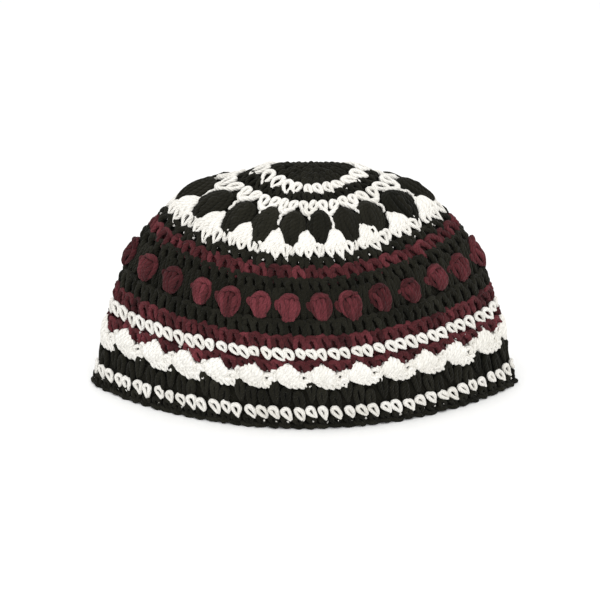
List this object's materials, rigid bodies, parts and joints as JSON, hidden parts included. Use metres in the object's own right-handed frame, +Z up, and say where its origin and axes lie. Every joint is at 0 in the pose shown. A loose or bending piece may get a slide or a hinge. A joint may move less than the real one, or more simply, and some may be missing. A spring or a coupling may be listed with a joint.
{
  "type": "crocheted kippah skullcap",
  "caption": "Deep soft crocheted skullcap in black, white and maroon rounds with petals, bobbles and waves, open below for the head.",
  "frame": {"origin": "middle of the cap's outline, on the surface that the rim stands on", "axes": "+X to the fold at the wearer's left side seen from the front, +Z up through the crown; the front faces -Y"},
  "size_m": [0.214, 0.1252, 0.114],
  "materials": {
    "black_yarn": "matt spun yarn, crocheted",
    "white_yarn": "matt spun yarn, crocheted",
    "maroon_yarn": "matt spun yarn, crocheted"
  },
  "bodies": {
    "root": {"band_black_tall": "black_yarn", "band_black_upper": "black_yarn", "band_maroon_lower": "maroon_yarn", "band_maroon_middle": "maroon_yarn", "band_maroon_upper": "maroon_yarn", "band_white_lower": "white_yarn", "band_white_upper": "white_yarn", "bobble_ground_black": "black_yarn", "bobble_maroon_01": "maroon_yarn", "bobble_maroon_02": "maroon_yarn", "bobble_maroon_03": "maroon_yarn", "bobble_maroon_04": "maroon_yarn", "bobble_maroon_05": "maroon_yarn", "bobble_maroon_06": "maroon_yarn", "bobble_maroon_07": "maroon_yarn", "bobble_maroon_08": "maroon_yarn", "bobble_maroon_09": "maroon_yarn", "bobble_maroon_10": "maroon_yarn", "bobble_maroon_11": "maroon_yarn", "bobble_maroon_12": "maroon_yarn", "bobble_maroon_13": "maroon_yarn", "bobble_maroon_14": "maroon_yarn", "bobble_maroon_15": "maroon_yarn", "bobble_maroon_16": "maroon_yarn", "bobble_maroon_17": "maroon_yarn", "bobble_maroon_18": "maroon_yarn", "bobble_maroon_19": "maroon_yarn", "bobble_maroon_20": "maroon_yarn", "bobble_maroon_21": "maroon_yarn", "bobble_maroon_22": "maroon_yarn", "bobble_maroon_23": "maroon_yarn", "bobble_maroon_24": "maroon_yarn", "bobble_maroon_25": "maroon_yarn", "bobble_maroon_26": "maroon_yarn", "crown_disc": "black_yarn", "crown_ring_black": "black_yarn", "crown_ring_white_inner": "white_yarn", "crown_ring_white_outer": "white_yarn", "petal_round_black": "black_yarn", "rim_black": "black_yarn", "shell_round_white": "white_yarn", "wave_round_white": "white_yarn"}
  },
  "joints": []
}
